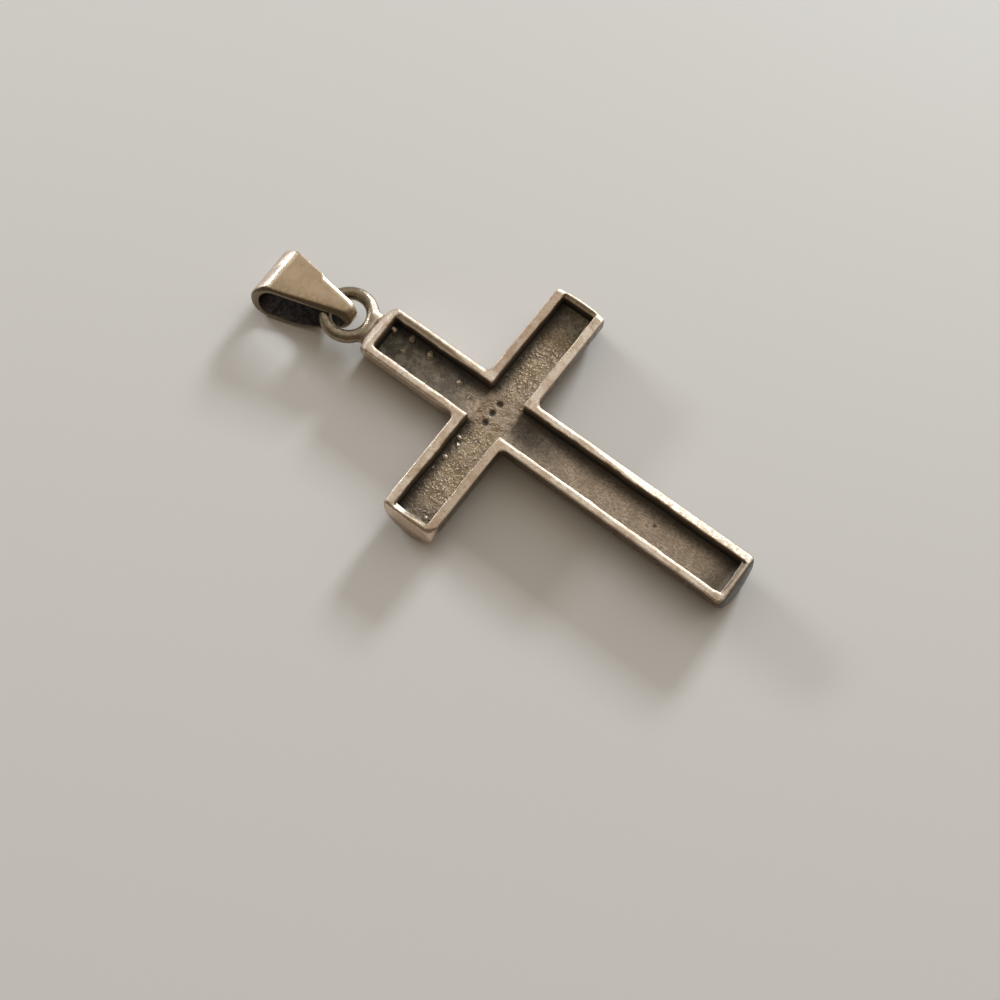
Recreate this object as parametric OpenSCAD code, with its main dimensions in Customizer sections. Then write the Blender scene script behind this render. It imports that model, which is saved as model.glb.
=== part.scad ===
// A cast silver cross pendant, lying on its domed front with the hollow back up.
// Millimetres. +X is the right arm seen from the back, +Y the bail, +Z the back.
// The origin is on the surface it lies on, under the middle of its box.

/* [Cross body] */
// Length of the cross bar, over both arm ends
span = 20.4; // [16:0.2:26]
// Length of the long bar
body_l = 31.15; // [26:0.05:40]
// Length of the top arm, from the middle of the crossing to its end
top_l = 10.65; // [8:0.05:12.5]
// Width of both bars
bar_w = 4.1; // [3.6:0.05:5.2]
// Height of the upright sides
side_h = 1.65; // [1.5:0.05:2.4]
// Height of the domed front, below the sides
dome_h = 0.95; // [0.7:0.05:1.4]
// How far each end face swells out in the middle
end_bulge = 0.2; // [0.1:0.05:0.4]
// How far the rim of the left arm's end is filed back
left_setback = 0.35; // [0.1:0.05:0.5]
// How far the rim of the long arm's end is filed back
long_setback = 0.3; // [0.1:0.05:0.5]

/* [Hollow back] */
// Width of the rim along the sides
rim_w = 0.7; // [0.5:0.05:0.9]
// Thickness of the rim at the end of the left and right arms
end_wall = 0.5; // [0.4:0.05:0.9]
// Thickness of the rim at the end of the long arm
long_wall = 0.65; // [0.4:0.05:0.9]
// Thickness of the wall that carries the eye ring
top_wall = 0.95; // [0.7:0.05:1.4]
// Depth of the hollow
hollow_d = 1.4; // [1:0.05:1.5]
// Radius along the foot of the hollow's walls
cove_r = 0.35; // [0.2:0.05:0.6]

/* [Eye ring] */
// Thickness of the ring's wire
wire_d = 0.95; // [0.7:0.05:1]
// Width of the ring's hole
eye_hole = 2.4; // [2.1:0.05:3]
// How deep the ring is sunk into the top arm's end, where it is soldered
ring_sink = 0.1; // [0.05:0.05:0.2]
// How far the ring was soldered off the long bar's centre line
ring_off = -0.35; // [-0.5:0.05:0.5]
// Width of the solder pad behind the ring
pad_w = 1.8; // [1.2:0.1:2.6]

/* [Bail] */
// Length of the bail
bail_l = 7.4; // [6.5:0.1:9]
// Width of the band at the chain end
bail_w = 4.15; // [3:0.05:5]
// Width of the band at the ring end
tip_w = 1; // [0.7:0.05:1.2]
// How far the middle of the wide end is off the bail's own centre line
wide_off = 0.25; // [0:0.05:0.5]
// Thickness of the band along its two sides
band_t = 0.36; // [0.3:0.02:0.5]
// Radius inside the bend in the ring
tip_in_r = 0.48; // [0.38:0.02:0.54]
// Thickness of the band at the bend round the chain
bend_t = 0.7; // [0.5:0.05:0.9]
// Thickness of the band at the bend in the ring
tip_t = 0.55; // [0.4:0.05:0.7]
// Radius of the bend round the chain, outside
bend_r = 1.35; // [1.2:0.05:1.6]
// How much higher the middle of the tip lies than the middle of the bend
tip_rise = 0.6; // [0.3:0.05:0.8]
// Room above and below the wire where the ring passes through
wire_room = 0.13; // [0.08:0.01:0.2]
// How far the lower side bows out below the straight line
belly = 0.45; // [0.1:0.05:0.5]
// How high the bail's lowest line lies over the surface
bail_rest = 0.02; // [0:0.01:0.1]
// How far the bail has slid along the ring, towards the left arm
bail_slide = 0.3; // [0:0.05:0.4]
// How far the bail is turned towards the left arm, in degrees
bail_yaw = 2.5; // [0:0.5:10]
// How far the band's cut edges lean, in degrees
bail_skew = 21; // [0:1:25]

/* [Hidden] */
$fn = 96;
silver_warm = [0.70, 0.64, 0.56];
eps = 0.01;
bend_steps = 20;
belly_steps = 14;

// Body
body_h = dome_h + side_h;
low_l = body_l - top_l;
dome_r = arc_radius(bar_w + 2 * eps, dome_h);
end_r = arc_radius(bar_w + 2 * eps, end_bulge);
hollow_w = bar_w - 2 * rim_w;

// Bail profile: length along the bail from its tip, and height over the surface
tip_r = tip_in_r + band_t;
bend_in_r = bend_r - band_t;
bend_h = bail_rest + bend_r + belly_dip();
tip_h = bend_h + tip_rise;
tip_s = tip_r;
bend_s = bail_l - bend_r;
tip_in_s = tip_t + tip_in_r;
bend_in_s = bail_l - bend_t - bend_in_r;

// The wire binds where the loop inside is only as high as the wire and its room.
// bind_share is how far that is along the loop, from the tip's middle to the bend's.
opening = 2 * (bend_in_r - tip_in_r) + 4 * belly;
wire_need = wire_d + 2 * wire_room - 2 * tip_in_r;
bind_share = (opening - sqrt(opening * opening - 16 * belly * wire_need)) / (8 * belly);
bind_s = tip_in_s + (bend_in_s - tip_in_s) * bind_share;

// The ring curves back towards the tip at the band's edge, so the wire lies further out
ring_r = (eye_hole + wire_d) / 2;
band_edge = bail_slide + (tip_w + (bail_w + 2 * wide_off - tip_w) * bind_s / bail_l) / 2
    + (wire_d / 2 + wire_room) * tan(bail_skew);
wire_s = bind_s + ring_r - sqrt(ring_r * ring_r - band_edge * band_edge);
wire_share = (wire_s - tip_in_s) / (bend_in_s - tip_in_s);
wire_roof = tip_h - tip_rise * wire_share + tip_in_r + (bend_in_r - tip_in_r) * wire_share;

// Ring, measured from the middle of the crossing
ring_y = top_l - ring_sink + ring_r + wire_d / 2;
ring_z = wire_roof - wire_room - wire_d / 2;

// The bail hangs on the far side of the ring
bail_x = ring_off - bail_slide + wire_s * sin(bail_yaw);
bail_y = ring_y + ring_r - wire_s * cos(bail_yaw);
right_edge = bail_w / 2 - wide_off - tip_rise * tan(bail_skew);
bail_y_end = bail_y + bail_l * cos(bail_yaw) + right_edge * sin(bail_yaw);

// The crossing's place, which centres the whole pendant on the origin
cross_y = (low_l - bail_y_end) / 2;

// Radius of an arc from its chord and its rise
function arc_radius(chord, rise) = (chord * chord / 4 + rise * rise) / (2 * rise);

// Points on an arc, from one angle to another
function arc(middle, radius, from, to, steps) =
    [for (i = [0:steps]) middle + radius * turned(from + (to - from) * i / steps)];

function turned(angle) = [cos(angle), sin(angle)];

// Angle of the line from one point to another
function heading(from, to) = atan2(to[1] - from[1], to[0] - from[0]);

// The lower side of a loop, back to its tip, bowed out from its straight line
function bowed(from, to, bow) =
    let (out = turned(heading(from, to) + 90))
    [for (i = [1:belly_steps - 1])
        let (t = i / belly_steps) from + (to - from) * t + out * 4 * bow * t * (1 - t)];

// A loop's outline: the bend at the tip, the upper side, the bend round the chain, the lower side
function loop_outline(tip, tip_radius, bend, bend_radius) =
    let (slope = heading(tip, bend), spread = acos((tip_radius - bend_radius) / norm(bend - tip)))
    concat(
        arc(tip, tip_radius, slope - spread, slope + spread - 360, bend_steps),
        arc(bend, bend_radius, slope + spread, slope - spread, bend_steps),
        bowed(bend + bend_radius * turned(slope - spread), tip + tip_radius * turned(slope - spread), belly)
    );

// How far the belly reaches below the bend
function belly_dip() =
    let (line = loop_outline([tip_r, bend_r + tip_rise], tip_r, [bail_l - bend_r, bend_r], bend_r))
    -min([for (p = line) p[1]]);

// Rounded front below, upright sides above
module bar_section() {
    intersection() {
        translate([-bar_w / 2, 0]) square([bar_w, body_h]);
        union() {
            translate([0, dome_r]) circle(dome_r);
            translate([-bar_w, dome_h]) square([2 * bar_w, side_h]);
        }
    }
}

// The far end of a bar seen from above, with its end at x = reach
module end_cap(reach) {
    intersection() {
        translate([reach - end_r, 0]) circle(end_r);
        translate([reach - end_bulge - eps, -bar_w / 2]) square([end_bulge + 2 * eps, bar_w]);
    }
}

// A bar along X, from -back to front
module bar(back, front) {
    intersection() {
        translate([-back, 0, 0]) rotate([90, 0, 90]) linear_extrude(back + front) bar_section();
        linear_extrude(body_h) {
            translate([end_bulge - back, -bar_w / 2]) square([back + front - 2 * end_bulge, bar_w]);
            end_cap(front);
            mirror([1, 0]) end_cap(back);
        }
    }
}

// A channel along X, from -back to front, with a cove at the foot of each wall
module channel(back, front) {
    w = hollow_w;
    translate([-back, 0, body_h - hollow_d]) rotate([90, 0, 90]) linear_extrude(back + front) {
        translate([-w / 2, cove_r]) square([w, hollow_d]);
        translate([cove_r - w / 2, 0]) square([w - 2 * cove_r, hollow_d]);
        for (side = [-1, 1]) translate([side * (w / 2 - cove_r), cove_r]) circle(cove_r);
    }
}

// What the file took off the rim at a bar's end, with that end at x = reach
module filing(reach, setback) {
    lean = atan(setback / side_h);
    translate([reach, -bar_w, dome_h]) rotate([0, -lean, 0]) cube([bar_w, 2 * bar_w, 2 * side_h]);
}

module eye_ring() {
    translate([ring_off, ring_y, ring_z]) rotate_extrude() translate([ring_r, 0]) circle(wire_d / 2);
    translate([ring_off - pad_w / 2, top_l - end_bulge - top_wall / 3, ring_z - wire_d / 2])
        cube([pad_w, end_bulge + top_wall / 3 + ring_sink, wire_d]);
}

module cross() {
    color(silver_warm) translate([0, cross_y, 0]) {
        difference() {
            union() {
                bar(span / 2, span / 2);
                rotate([0, 0, 90]) bar(low_l, top_l);
            }
            channel(span / 2 - end_wall - left_setback, span / 2 - end_wall);
            rotate([0, 0, 90]) channel(low_l - long_wall - long_setback, top_l - top_wall);
            rotate([0, 0, 180]) filing(span / 2, left_setback);
            rotate([0, 0, -90]) filing(low_l, long_setback);
        }
        eye_ring();
    }
}

// The bail in its own place: its length along Y, its tip's outside at y = 0
module bail_band() {
    across = bail_w + bail_l;
    rotate([90, 0, 90]) translate([0, 0, -across / 2]) linear_extrude(across) difference() {
        polygon(loop_outline([tip_s, tip_h], tip_r, [bend_s, bend_h], bend_r));
        polygon(loop_outline([tip_in_s, tip_h], tip_in_r, [bend_in_s, bend_h], bend_in_r));
    }
}

// The taper of the band seen from above, leaning as its cut edges do
module bail_taper() {
    lean = cos(bail_skew);
    tall = 3 * body_h;
    translate([0, 0, tip_h]) rotate([0, bail_skew, 0]) translate([0, 0, -tall]) linear_extrude(2 * tall)
        polygon([
            [-tip_w / 2 * lean, 0],
            [tip_w / 2 * lean, 0],
            [(bail_w / 2 - wide_off) * lean, bail_l],
            [-(bail_w / 2 + wide_off) * lean, bail_l]
        ]);
}

module bail() {
    color(silver_warm) translate([bail_x, cross_y + bail_y, 0]) rotate([0, 0, bail_yaw]) intersection() {
        bail_band();
        bail_taper();
    }
}

cross();
bail();
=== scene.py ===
# Looks of a cast silver cross pendant that lies on its domed front, with its hollow back up.
# Lengths are millimetres, and MM turns them into metres where a mesh, light or camera is made.
# The cross is worked out about the middle of its crossing, the bail about its own tip.
import math

import bpy
import numpy as np
from mathutils import Matrix, Vector


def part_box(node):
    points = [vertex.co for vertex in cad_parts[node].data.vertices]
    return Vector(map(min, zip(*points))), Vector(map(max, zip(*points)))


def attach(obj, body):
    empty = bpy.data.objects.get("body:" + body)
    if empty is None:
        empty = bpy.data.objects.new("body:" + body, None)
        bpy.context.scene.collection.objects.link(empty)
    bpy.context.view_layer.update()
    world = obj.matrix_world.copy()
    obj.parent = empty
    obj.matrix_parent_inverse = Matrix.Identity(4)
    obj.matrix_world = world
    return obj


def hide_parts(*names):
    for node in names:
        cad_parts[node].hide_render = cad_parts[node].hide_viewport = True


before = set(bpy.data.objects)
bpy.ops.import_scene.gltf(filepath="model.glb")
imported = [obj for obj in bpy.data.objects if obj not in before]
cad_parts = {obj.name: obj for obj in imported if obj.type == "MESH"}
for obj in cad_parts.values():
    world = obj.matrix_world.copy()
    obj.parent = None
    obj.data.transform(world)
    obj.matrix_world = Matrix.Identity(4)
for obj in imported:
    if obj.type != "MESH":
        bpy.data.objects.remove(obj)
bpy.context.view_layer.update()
MM = 0.001


def box_mm(node):
    """A CAD node's lowest and highest corners in millimetres"""
    low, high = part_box(node)
    return np.array(low) / MM, np.array(high) / MM


cross_low, cross_high = box_mm("cross")

# Body of the cross, with the CAD model's sizes. Only the long end's filing and sag and the radii of
# the dome's edges and of the notches are the scene's own.
SPAN = cross_high[0] - cross_low[0]
BODY_H = cross_high[2]
LOW_L = 20.5
TOP_L = 10.65
CROSSING_Y = cross_low[1] + LOW_L
BAR_W = 4.1
DOME_H = 0.95
SIDE_H = BODY_H - DOME_H
END_BULGE = 0.2
LEFT_SETBACK = 0.35
LONG_SETBACK = 0.3
LONG_FILED = 0.45
LONG_DROOP = 0.22
DOME_EDGE_R = 0.35
NOTCH_R = 0.45

# Radii of the edges round the bars' ends, and how much rounder their worn corners are
FILED_R = 0.3
LEFT_CORNER_R = 0.25
LEFT_CORNER_WORN = 0.6
RIGHT_CORNER_R = 0.18
TOP_CORNER_R = 0.25
TOP_CORNER_WORN = 0.4
LONG_CORNER_R = 0.14
LONG_CORNER_LEFT_WORN = 0.4
LONG_CORNER_RIGHT_WORN = 0.2

# Radii of the rims' edges, sharp where they are as cast and round where they are worn, how much
# softer two of the ends are, and how worn the long arm and the top wall are
RIM_SHARP_R = 0.1
RIM_WORN_R = 0.18
INNER_SHARP_R = 0.05
INNER_WORN_R = 0.15
LEFT_END_SOFTER = 0.16
TOP_END_SOFTER = 0.12
LONG_WORN = 0.35
TOP_WALL_WORN = 1.2

# How wide the worn slopes along the rims' edges are, and how steeply they fall
OUTER_BEVEL = 0.27
INNER_BEVEL = 0.22
END_BEVEL = 0.3
END_WIDENING = 0.36
END_FLATTER = 0.4
TOP_BEVEL = 0.5
BEVEL_SLOPE = 0.52
STEEPER = 1.2

# How low the rims were filed on average and how much they wave, as a share of RIM_WAVE
RIM_WAVE = 0.014
RIM_WAVE_MEAN = 1.5

# Round cut of the file along the hollow's upper edge, with its middle back from that edge and above
# it, the radii where it ends and meets the hollow, and how much shallower it gets along two rims
CUT_R = 0.6
CUT_BACK = 0.15
CUT_UP = 0.35
CUT_END_R = 0.12
CUT_FADE_LEFT = 0.12
CUT_FADE_TOP = 0.25
CUT_BLEND_R = 0.03

# Hollow back
RIM_W = 0.7
END_WALL = 0.5
LONG_WALL = 0.65
TOP_WALL = 0.95
HOLLOW_D = 1.4
COVE_R = 0.35
HOLLOW_CORNER_R = 0.16
HOLLOW_NOTCH_R = 0.14
FLOOR_Z = BODY_H - HOLLOW_D
DRAFT = 0.05
CROSS_FLOOR_STEP = 0.07
TOP_WALL_SKEW = 0.05

# Eye ring
WIRE_D = 0.95
EYE_HOLE = 2.4
RING_R = (EYE_HOLE + WIRE_D) / 2
RING_OFF = -0.35
RING_Y = 12.7
RING_Z = 1.853
SOLDER_R = 0.22

# Solder behind the ring, and a lump of it on the right: middle and half sizes
SOLDER_PAD = (RING_OFF, TOP_L + 0.05, RING_Z - 0.05), (1.15, 0.5, 0.5)
SOLDER_LUMP = (0.55, TOP_L + 0.2, 1.85), (0.55, 0.4, 0.42)
SOLDER_LUMP_R = 0.2

# Flat place on the ring's wire where its end was dressed: middle of the wire there, direction and depth
FACET_AT = (0.927, 11.616, 1.853)
FACET_NORMAL = (0.40, -0.34, 0.85)
FACET_DEPTH = 0.08
FACET_EDGE_R = 0.04

# Where the ring's seam is, seen from above
SEAM_AT = (-1.58, 12.13)

# Bail, with the CAD model's sizes, then the radii of its edges and the slope along its far edge
BAIL_L = 7.4
BAIL_W = 4.15
TIP_W = 1.0
WIDE_OFF = 0.25
BAND_T = 0.36
TIP_IN_R = 0.48
BEND_T = 0.7
TIP_T = 0.55
BEND_R = 1.35
BELLY = 0.45
TIP_H = 2.0006
BEND_H = 1.4006
BAIL_X = -0.5532
BAIL_Y = 12.1576
BAIL_YAW = math.radians(2.5)
BAIL_SKEW = math.radians(21)
BAND_EDGE_R = 0.07
TIP_NEAR_R = 0.42
WIDE_NEAR_R = 0.2
BEND_NEAR_MORE = 0.14
FAR_FACET_W = 0.32
FAR_FACET_LEAN = 0.426
FAR_FACET_END = 3.7

# Flattened place on the bend round the chain: direction and depth, and how soft its edges are
BEND_FACET = (0.03, 0.66, 0.75)
BEND_FACET_DEPTH = 0.15
BEND_FACET_R = 0.3

# Nodules left by the casting on the hollow's floor, the share of that radius that their rough balls
# keep, and the fillet round their feet
NODULES = [
    dict(x=0.74, y=9.50, z=1.62, r=0.19),
    dict(x=1.04, y=8.17, z=1.28, r=0.15),
    dict(x=-0.08, y=8.19, z=1.24, r=0.13),
    dict(x=0.84, y=6.43, z=1.30, r=0.25),
    dict(x=0.49, y=3.53, z=1.24, r=0.15),
    dict(x=-0.01, y=2.29, z=1.22, r=0.11),
    dict(x=-3.26, y=0.81, z=1.24, r=0.12),
    dict(x=-4.49, y=0.97, z=1.26, r=0.13),
    dict(x=-5.56, y=1.20, z=1.28, r=0.12),
    dict(x=-2.36, y=-0.10, z=1.22, r=0.10),
    dict(x=-2.82, y=1.03, z=1.26, r=0.13),
    dict(x=-8.74, y=-0.69, z=1.24, r=0.15),
]
NODULE_SHARE = 0.92
NODULE_BLEND_R = 0.05

# Small pit in the long bar's floor
PIT_AT = (0.175, -13.4)
PIT_DEPTH = 0.07
PIT_R = 0.2

# Plain round dots punched at the crossing
DOTS = dict(x=0.0, y=0.27, pitch=0.85, r=0.24, depth=0.12, count=3, side=0.06)

# Layers of seeded noise: height, size and seed
OUTLINE_WAVES = (0.03, 1.3, 41), (0.018, 0.45, 42)
FLOOR_WAVES = ((0.03, 1.7, 5),)
RIM_WAVES = (1, 2.3, 11), (0.5, 0.8, 12)
BEVEL_WAVES = ((0.05, 1.1, 13),)
NODULE_WAVES = ((0.085, 0.2, 51),)
STAIN_WAVES = ((0.07, 0.3, 61),)
BEND_WAVES = ((0.045, 0.8, 71),)
GRAIN_WAVES = (1, 0.24, 21), (0.5, 0.12, 22)
SKIN_WAVES = (1, 1.4, 31), (0.5, 0.7, 32)

# Height of the grain on the long bar's floor, what the arms' floor has on top of it, and the cast skin's
SMOOTH_GRAIN = 0.007
ROUGH_GRAIN = 0.03
SKIN_DEPTH = 0.006
SKIN_VARIES = 0.6

# Noise: how many random values it draws, and the factors that spread its cells over them
NOISE_VALUES = 4096
NOISE_SPREAD = (73856093, 19349663, 83492791)

# Steps along the bail's bends and its bowed lower side, and a length too short to divide by
ARC_STEPS = 40
BELLY_STEPS = 28
TINY = 1e-12


def round_max(a, b, r):
    """The larger of two distances, with a round edge of radius r where they meet"""
    return np.minimum(-r, np.maximum(a, b)) + np.hypot(np.maximum(a + r, 0), np.maximum(b + r, 0))


def round_min(a, b, r):
    """The smaller of two distances, with a fillet of radius r where they meet"""
    return -round_max(-a, -b, r)


def arc_radius(chord, rise):
    """Radius of an arc from its chord and its rise"""
    return (chord * chord / 4 + rise * rise) / (2 * rise)


def ease(a, b, x):
    """0 up to a, 1 from b on, smooth between them"""
    t = np.clip((x - a) / (b - a), 0, 1)
    return t * t * (3 - 2 * t)


def value_noise(x, y, z, size, seed):
    """Smooth noise from -1 to 1 with one random value every size millimetres"""
    table = np.random.default_rng(seed).uniform(-1, 1, NOISE_VALUES)
    cell, share = [], []
    for c in (x, y, z):
        q = c / size
        i = np.floor(q)
        f = q - i
        cell.append(i.astype(np.int64))
        share.append(f * f * (3 - 2 * f))
    total = 0
    for corner in range(8):
        step = [corner & 1, corner >> 1 & 1, corner >> 2 & 1]
        number = 0
        for c, s, spread in zip(cell, step, NOISE_SPREAD):
            number = number ^ (c + s) * spread
        weight = 1
        for f, s in zip(share, step):
            weight = weight * (f if s else 1 - f)
        total = total + weight * table[number & (NOISE_VALUES - 1)]
    return total


def waves(x, y, z, layers):
    """Layers of noise added up, each with its height, size and seed"""
    return sum(height * value_noise(x, y, z, size, seed) for height, size, seed in layers)


DOME_R = arc_radius(BAR_W, DOME_H)
END_R = arc_radius(BAR_W, END_BULGE)


def end_face(s, t, reach):
    """About the distance outside a bar's end, which swells out in an arc"""
    t = np.minimum(np.abs(t), BAR_W)
    return s - reach + END_R - np.sqrt(END_R * END_R - t * t)


def filed_face(s, z, reach, setback):
    """Distance outside the slope that was filed on a bar's end, from the dome's edge up"""
    lean = math.atan(setback / SIDE_H)
    return (s - reach) * math.cos(lean) + (z - DOME_H) * math.sin(lean)


def bar_section(t, z):
    """Distance outside a bar's upright sides and domed front"""
    return round_max(np.abs(t) - BAR_W / 2, np.hypot(t, z - DOME_R) - DOME_R, DOME_EDGE_R)


def cross_bar(x, y, z):
    """Distance outside the bar of the left and right arms"""
    left = round_max(end_face(-x, y, SPAN / 2), filed_face(-x, z, SPAN / 2, LEFT_SETBACK), FILED_R)
    right = end_face(x, y, SPAN / 2)
    left_corner = LEFT_CORNER_R + LEFT_CORNER_WORN * ease(0.5, -1.5, y) * ease(1.6, 2.6, z)
    return round_max(round_max(bar_section(y, z), left, left_corner), right, RIGHT_CORNER_R)


def long_bar(x, y, z):
    """Distance outside the bar of the top and long arms"""
    top = end_face(y, x, TOP_L)
    low = round_max(end_face(-y, x, LOW_L), filed_face(-y, z, LOW_L, LONG_FILED), FILED_R)
    top_corner = TOP_CORNER_R + TOP_CORNER_WORN * ease(-0.5, 1.5, x)
    low_corner = LONG_CORNER_R + LONG_CORNER_LEFT_WORN * ease(0.5, -1.5, x)
    low_corner = low_corner + LONG_CORNER_RIGHT_WORN * ease(0.5, 1.8, x)
    return round_max(round_max(bar_section(x, z), top, top_corner), low, low_corner)


# How far the hollow reaches along each arm, and to each side of the bars' middle lines
LEFT_END = SPAN / 2 - END_WALL - LEFT_SETBACK
RIGHT_END = SPAN / 2 - END_WALL
TOP_END = TOP_L - TOP_WALL
LONG_END = LOW_L - LONG_WALL - LONG_SETBACK
HOLLOW_HALF = BAR_W / 2 - RIM_W


def hollow_plan(x, y):
    """Distance outside the hollow's outline, seen from above"""
    arm = round_max(np.abs(y) - HOLLOW_HALF, -x - LEFT_END, HOLLOW_CORNER_R)
    arm = round_max(arm, x - RIGHT_END, HOLLOW_CORNER_R)
    post = round_max(np.abs(x) - HOLLOW_HALF, y - TOP_END - TOP_WALL_SKEW * x, HOLLOW_CORNER_R)
    post = round_max(post, -y - LONG_END, HOLLOW_CORNER_R)
    return round_min(arm, post, HOLLOW_NOTCH_R) + waves(x, y, 0 * x, OUTLINE_WAVES)


def on_post(x):
    """1 on the long bar, 0 on the side arms"""
    return ease(2.7, 2.1, np.abs(x))


def hollow(x, y, z):
    """Distance outside the hollow, with its drafted walls, coved floor and the step round the crossing"""
    wall = hollow_plan(x, y) + DRAFT * (BODY_H - z) / HOLLOW_D
    step = CROSS_FLOOR_STEP * ease(1.5, 1.2, np.abs(y))
    floor = FLOOR_Z + step - z + waves(x, y, 0 * z, FLOOR_WAVES)
    return round_max(wall, floor, COVE_R)


def round_cut(s, edge, across, low, high, z):
    """A file's round cut along the hollow's upper edge at s = edge, from low to high across it"""
    cut = np.hypot(s - edge + CUT_BACK, BODY_H - z + CUT_UP) - CUT_R
    return round_max(cut, np.maximum(low - across, across - high), CUT_END_R)


def filed_edge(x, y, z):
    """The round cuts inside the left, right and long ends, and along the top arm's right rim"""
    half = HOLLOW_HALF
    right = round_cut(x, RIGHT_END, y, -half, half, z)
    left = round_cut(-x, LEFT_END, y, -half, half, z) + CUT_FADE_LEFT * ease(0.6, -half, y)
    long = round_cut(-y, LONG_END, x, -half, half, z)
    top = round_cut(x, half, y, half, TOP_END, z) + CUT_FADE_TOP * ease(6, half + 0.5, y)
    return np.minimum(np.minimum(right, left), np.minimum(long, top))


def outer_edge_r(x, y):
    """Radius of the rims' outer edge: rounder along the long bar's right side, the top arm and the ends"""
    worn = on_post(x) * np.maximum(ease(0.8, 1.7, x), ease(1.8, 3.5, y))
    worn = np.maximum(worn, LONG_WORN * on_post(x) * ease(-3, -7, y))
    soft_left = LEFT_END_SOFTER * ease(8.8, 9.6, -x)
    soft_top = TOP_END_SOFTER * ease(TOP_L - 0.7, TOP_L - 0.3, y)
    return RIM_SHARP_R + (RIM_WORN_R - RIM_SHARP_R) * worn + (soft_left + soft_top)


def inner_edge_r(x, y):
    """Radius of the rims' inner edge: rounder along the long bar's left side and the top wall"""
    top_wall = TOP_WALL_WORN * ease(TOP_END - 0.4, TOP_END - 0.1, y)
    worn = on_post(x) * np.maximum(ease(0.9, 1.3, -x), top_wall)
    return INNER_SHARP_R + (INNER_WORN_R - INNER_SHARP_R) * worn


def ramp(d, soft=0.05):
    """0 below 0 and d above it, smooth between them"""
    return (d + np.hypot(d, soft)) / 2


def rim_height(x, y):
    """Height of the filed rims: they wave a little, slope where they are worn, and sag at one corner"""
    sag = LONG_DROOP * ease(18.4, 20.3, -y) * ease(0.8, -1.8, x)
    vary = waves(x, y, 0 * x, BEVEL_WAVES)
    past_arms = ease(2.0, 2.45, np.abs(y))
    worn_end = ease(-6, -13, y)
    outer = ramp(x - BAR_W / 2 + OUTER_BEVEL + END_WIDENING * worn_end + vary) * past_arms
    outer = outer * (1 - END_FLATTER * worn_end)
    steep = STEEPER * ramp(x - BAR_W / 2 + OUTER_BEVEL / 2) * ease(2.2, 3.5, y)
    between = ease(TOP_END - 0.1, TOP_END - 0.5, y) * ease(-LONG_END + 0.1, -LONG_END + 0.5, y)
    inner = ramp(x + HOLLOW_HALF + INNER_BEVEL + vary) * between * ease(-0.7, -1.1, x)
    end = ramp(end_face(x, y, SPAN / 2) + END_BEVEL + vary)
    top = STEEPER * ramp(end_face(y, x, TOP_L) + TOP_BEVEL + vary)
    slope = BEVEL_SLOPE * (on_post(x) * (outer + steep + inner + top) + end)
    return BODY_H - RIM_WAVE * (RIM_WAVE_MEAN + waves(x, y, 0 * x, RIM_WAVES)) - sag - slope


def ring(x, y, z):
    """Distance outside the ring's wire, with its flat place"""
    across = np.hypot(x - RING_OFF, y - RING_Y) - RING_R
    wire = np.hypot(across, z - RING_Z) - WIRE_D / 2
    above = sum((c - m) * n for c, m, n in zip((x, y, z), FACET_AT, FACET_NORMAL))
    return round_max(wire, above - WIRE_D / 2 + FACET_DEPTH, FACET_EDGE_R)


def ellipsoid(x, y, z, middle, radii):
    """About the distance outside an ellipsoid"""
    scaled = [(c - m) / r for c, m, r in zip((x, y, z), middle, radii)]
    length = np.sqrt(sum(c * c for c in scaled))
    return (length - 1) * min(radii)


def solder(x, y, z):
    """Distance outside the solder between the ring and the top arm"""
    return round_min(ellipsoid(x, y, z, *SOLDER_PAD), ellipsoid(x, y, z, *SOLDER_LUMP), SOLDER_LUMP_R)


def dot_depth(x, y):
    """How deep the punched dots are, from 0 to 1: a flat round bottom inside a steep side"""
    depth = 0
    for n in range(DOTS["count"]):
        middle = DOTS["x"] + (n - (DOTS["count"] - 1) / 2) * DOTS["pitch"]
        off = np.hypot(x - middle, y - DOTS["y"])
        depth = np.maximum(depth, ease(DOTS["r"] + DOTS["side"], DOTS["r"] - DOTS["side"], off))
    return depth


def nodules(x, y, z):
    """About the distance outside the nearest of the rough little balls"""
    found = np.inf
    for n in NODULES:
        off = np.sqrt((x - n["x"]) ** 2 + (y - n["y"]) ** 2 + (z - n["z"]) ** 2)
        found = np.minimum(found, off - NODULE_SHARE * n["r"])
    return found + waves(x, y, z, NODULE_WAVES)


def cross_field(x, y, z):
    """Distance outside the cast body with its ring, about the middle of the crossing"""
    body = round_min(cross_bar(x, y, z), long_bar(x, y, z), NOTCH_R)
    body = round_max(body, z - rim_height(x, y), outer_edge_r(x, y))
    void = round_min(hollow(x, y, z), filed_edge(x, y, z), CUT_BLEND_R)
    body = round_max(body, -void, inner_edge_r(x, y))
    body = round_min(body, nodules(x, y, z), NODULE_BLEND_R)
    eye = round_min(ring(x, y, z), solder(x, y, z), SOLDER_R)
    return round_min(body, eye, SOLDER_R)


def turned(angle):
    """The direction at an angle"""
    return np.array([math.cos(angle), math.sin(angle)])


def heading(start, end):
    """The angle of the way from one point to another"""
    return math.atan2(*(end - start)[::-1])


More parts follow.
